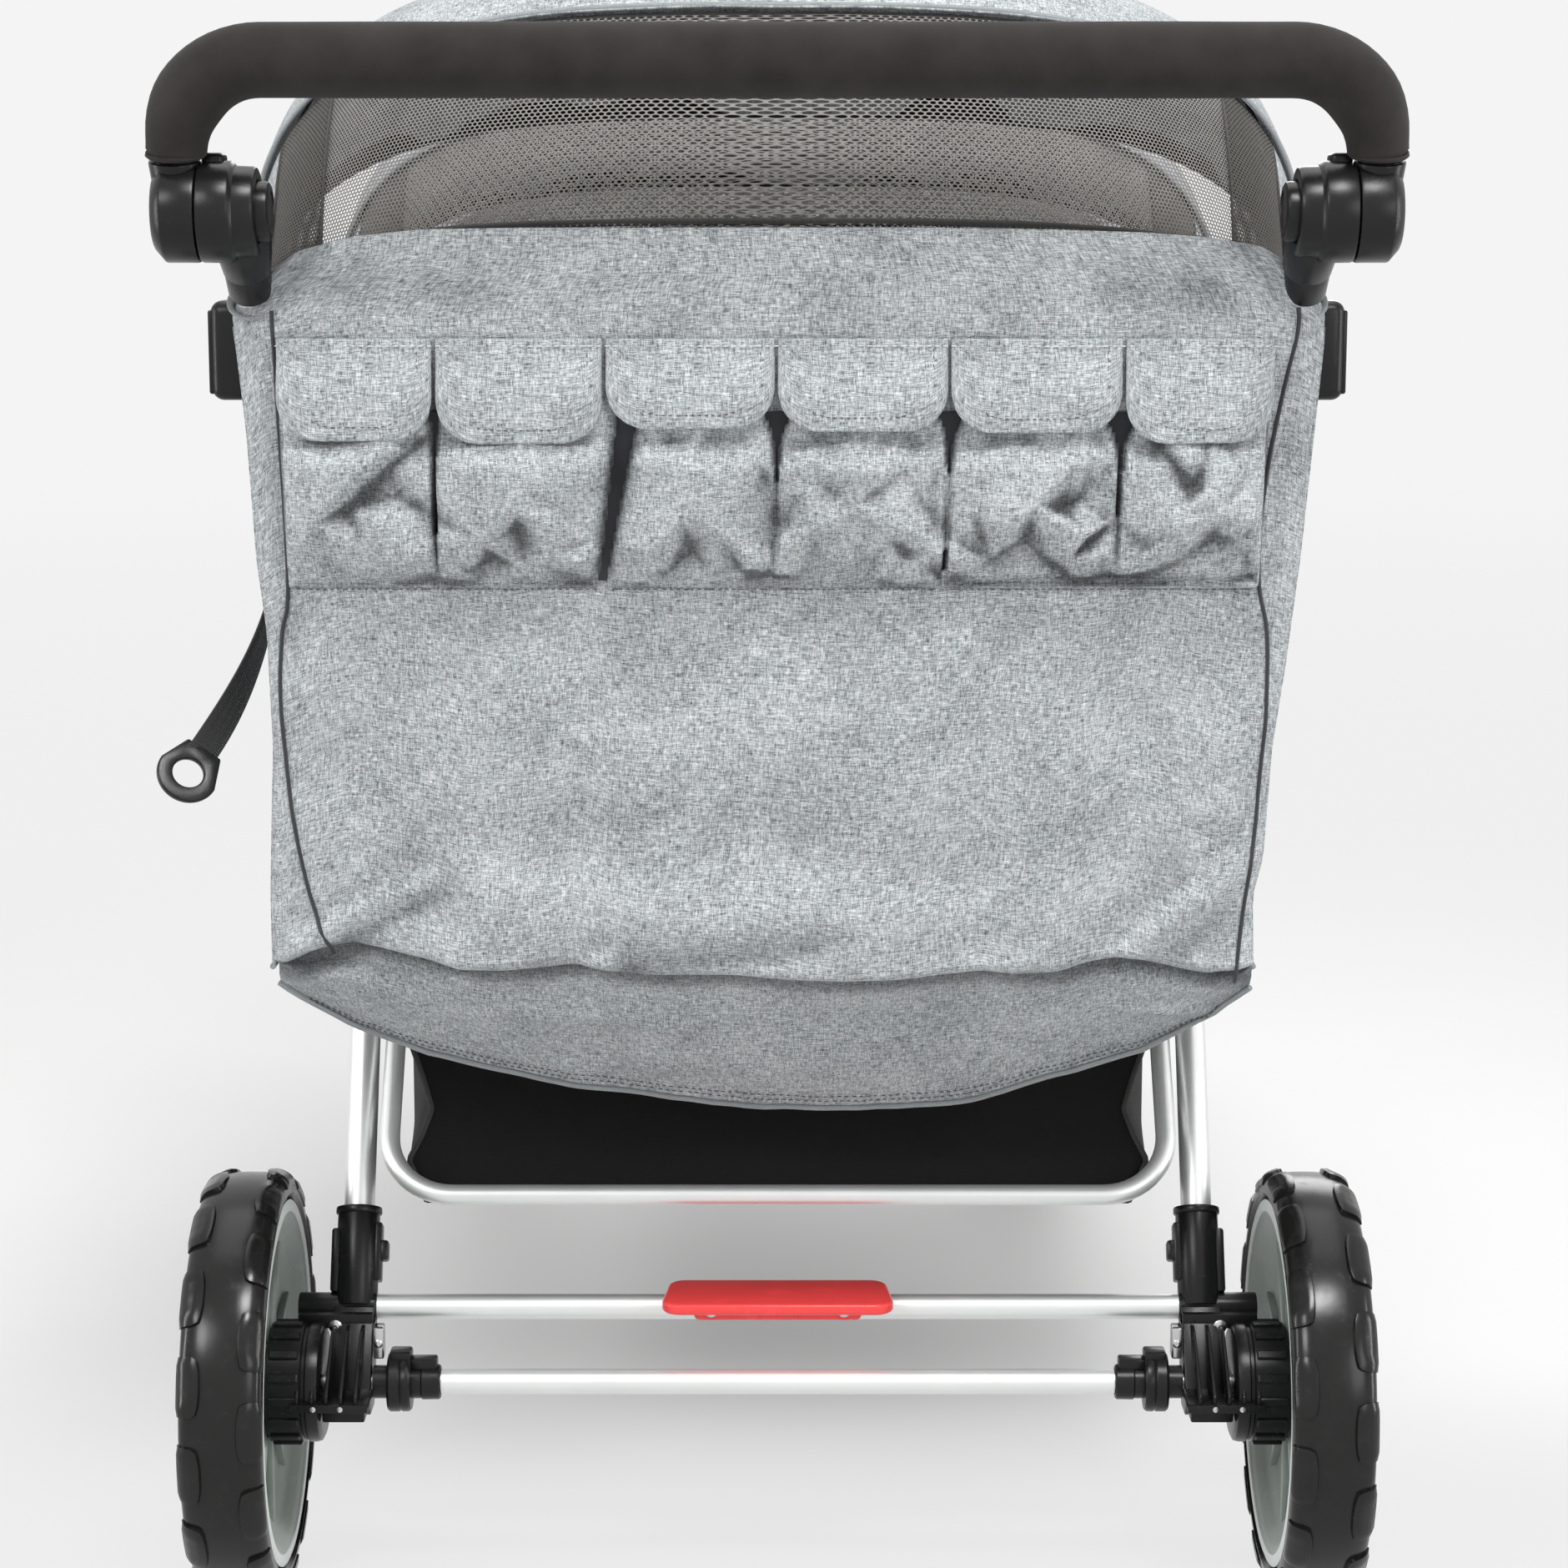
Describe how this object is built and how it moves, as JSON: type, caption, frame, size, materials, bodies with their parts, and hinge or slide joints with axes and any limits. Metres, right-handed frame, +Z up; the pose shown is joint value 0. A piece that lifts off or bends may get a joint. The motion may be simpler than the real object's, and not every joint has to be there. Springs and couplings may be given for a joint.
{
  "type": "six-seat stroller",
  "caption": "Long push stroller with rows of double seats in a fabric tub, folding hoods, a tilting foam handle, swivel front wheels, a foot brake and a folding rear frame.",
  "frame": {"origin": "centre of the stroller's outline, on the floor", "axes": "+Z up, +Y forward, the way the children face, +X to the stroller's right"},
  "size_m": [0.774, 1.617, 1.0874],
  "materials": {
    "aluminium": "satin anodised",
    "black_plastic": "satin moulded",
    "foam": "closed-cell foam, matte",
    "fabric_grey": "blue-grey heather weave",
    "fabric_black": "black weave",
    "mesh": "dark open mesh",
    "rim_grey": "pale moulded",
    "tyre": "matte",
    "red_plastic": "satin moulded",
    "webbing": "woven strap",
    "steel": "screws and pins"
  },
  "bodies": {
    "root": {"rear_hoop": "aluminium", "bumper_bar": "foam", "rear_panel": "fabric_grey", "basket": "fabric_black", "strap": "webbing", "hood_clamp_left": "black_plastic", "hood_clamp_right": "black_plastic", "push_rail_left": "aluminium", "lower_rail_left": "aluminium", "knuckle_lower_left": "black_plastic", "caster_housing_left": "black_plastic", "side_panel_left": "fabric_grey", "push_rail_right": "aluminium", "lower_rail_right": "aluminium", "knuckle_lower_right": "black_plastic", "caster_housing_right": "black_plastic", "side_panel_right": "fabric_grey", "seat_rear": "fabric_grey", "footwell_rear": "fabric_grey", "hood_rear_back": "mesh", "seat_middle": "fabric_grey", "footwell_middle": "fabric_grey", "hood_middle_back": "mesh", "seat_front": "fabric_grey", "footwell_front": "fabric_grey", "hood_front_back": "mesh"},
    "handle": {"handle_tube": "aluminium", "foam_grip": "foam", "knuckle_upper_left": "black_plastic", "knuckle_upper_right": "black_plastic"},
    "rear_frame": {"rear_axle": "aluminium", "rear_leg_left": "aluminium", "rear_bracket_left": "black_plastic", "axle_sleeve_left": "black_plastic", "rear_leg_right": "aluminium", "rear_bracket_right": "black_plastic", "axle_sleeve_right": "black_plastic"},
    "brake": {"brake_bar": "aluminium", "brake_pedal": "red_plastic"},
    "rear_wheel_left": {"rear_tyre_left": "tyre", "rear_rim_left": "rim_grey"},
    "caster_left": {"fork_left": "black_plastic"},
    "front_wheel_left": {"front_tyre_left": "tyre", "front_rim_left": "rim_grey"},
    "button_left": {"knuckle_button_left": "black_plastic"},
    "rear_wheel_right": {"rear_tyre_right": "tyre", "rear_rim_right": "rim_grey"},
    "caster_right": {"fork_right": "black_plastic"},
    "front_wheel_right": {"front_tyre_right": "tyre", "front_rim_right": "rim_grey"},
    "button_right": {"knuckle_button_right": "black_plastic"},
    "backrest_rear": {"backrest_rear": "fabric_grey"},
    "hood_rear_front": {"hood_rear_front": "fabric_grey"},
    "hood_rear_middle": {"hood_rear_middle": "fabric_grey"},
    "backrest_middle": {"backrest_middle": "fabric_grey"},
    "hood_middle_front": {"hood_middle_front": "fabric_grey"},
    "hood_middle_middle": {"hood_middle_middle": "fabric_grey"},
    "backrest_front": {"backrest_front": "fabric_grey"},
    "hood_front_front": {"hood_front_front": "fabric_grey"},
    "hood_front_middle": {"hood_front_middle": "fabric_grey"}
  },
  "joints": [
    {"name": "rear_frame_fold", "type": "hinge", "parent": "root", "child": "rear_frame", "pos_m": [0, -0.3695, 0.46003], "axis": [1, 0, 0], "range_deg": [0, 65]},
    {"name": "brake_press", "type": "hinge", "parent": "rear_frame", "child": "brake", "pos_m": [0, -0.5075, 0.188], "axis": [1, 0, 0], "range_deg": [0, 25]},
    {"name": "handle_tilt", "type": "hinge", "parent": "root", "child": "handle", "pos_m": [0, -0.7675, 0.93], "axis": [1, 0, 0], "range_deg": [-25, 75]},
    {"name": "rear_wheel_left_roll", "type": "hinge", "parent": "rear_frame", "child": "rear_wheel_left", "pos_m": [-0.33, -0.5375, 0.145], "axis": [1, 0, 0], "continuous": true},
    {"name": "caster_left_swivel", "type": "hinge", "parent": "root", "child": "caster_left", "pos_m": [-0.25, 0.6625, 0.236], "axis": [0, 0, 1], "continuous": true},
    {"name": "front_wheel_left_roll", "type": "hinge", "parent": "caster_left", "child": "front_wheel_left", "pos_m": [-0.25, 0.6125, 0.115], "axis": [1, 0, 0], "continuous": true},
    {"name": "knuckle_button_left_press", "type": "slide", "parent": "root", "child": "button_left", "axis": [-1, 0, 0], "range_m": [0, 0.005], "stiffness_N_per_m": 1500, "springref_m": -0.001},
    {"name": "rear_wheel_right_roll", "type": "hinge", "parent": "rear_frame", "child": "rear_wheel_right", "pos_m": [0.33, -0.5375, 0.145], "axis": [1, 0, 0], "continuous": true},
    {"name": "caster_right_swivel", "type": "hinge", "parent": "root", "child": "caster_right", "pos_m": [0.25, 0.6625, 0.236], "axis": [0, 0, 1], "continuous": true},
    {"name": "front_wheel_right_roll", "type": "hinge", "parent": "caster_right", "child": "front_wheel_right", "pos_m": [0.25, 0.6125, 0.115], "axis": [1, 0, 0], "continuous": true},
    {"name": "knuckle_button_right_press", "type": "slide", "parent": "root", "child": "button_right", "axis": [1, 0, 0], "range_m": [0, 0.005], "stiffness_N_per_m": 1500, "springref_m": -0.001},
    {"name": "backrest_rear_recline", "type": "hinge", "parent": "root", "child": "backrest_rear", "pos_m": [0, -0.5075, 0.58], "axis": [1, 0, 0], "range_deg": [0, 15]},
    {"name": "hood_rear_fold", "type": "hinge", "parent": "root", "child": "hood_rear_front", "pos_m": [0, -0.5175, 0.83998], "axis": [1, 0, 0], "range_deg": [0, 78]},
    {"name": "hood_rear_middle_follow", "type": "hinge", "parent": "root", "child": "hood_rear_middle", "pos_m": [0, -0.5175, 0.83998], "axis": [1, 0, 0], "range_deg": [0, 36]},
    {"name": "backrest_middle_recline", "type": "hinge", "parent": "root", "child": "backrest_middle", "pos_m": [0, -0.0875, 0.53], "axis": [1, 0, 0], "range_deg": [0, 15]},
    {"name": "hood_middle_fold", "type": "hinge", "parent": "root", "child": "hood_middle_front", "pos_m": [0, -0.0975, 0.79], "axis": [1, 0, 0], "range_deg": [0, 78]},
    {"name": "hood_middle_middle_follow", "type": "hinge", "parent": "root", "child": "hood_middle_middle", "pos_m": [0, -0.0975, 0.79], "axis": [1, 0, 0], "range_deg": [0, 36]},
    {"name": "backrest_front_recline", "type": "hinge", "parent": "root", "child": "backrest_front", "pos_m": [0, 0.3325, 0.48], "axis": [1, 0, 0], "range_deg": [0, 15]},
    {"name": "hood_front_fold", "type": "hinge", "parent": "root", "child": "hood_front_front", "pos_m": [0, 0.3225, 0.74003], "axis": [1, 0, 0], "range_deg": [0, 78]},
    {"name": "hood_front_middle_follow", "type": "hinge", "parent": "root", "child": "hood_front_middle", "pos_m": [0, 0.3225, 0.74003], "axis": [1, 0, 0], "range_deg": [0, 36]}
  ],
  "couplings": [
    {"joint": "hood_rear_middle_follow", "follows": "hood_rear_fold", "ratio": 0.46},
    {"joint": "hood_middle_middle_follow", "follows": "hood_middle_fold", "ratio": 0.46},
    {"joint": "hood_front_middle_follow", "follows": "hood_front_fold", "ratio": 0.46}
  ]
}
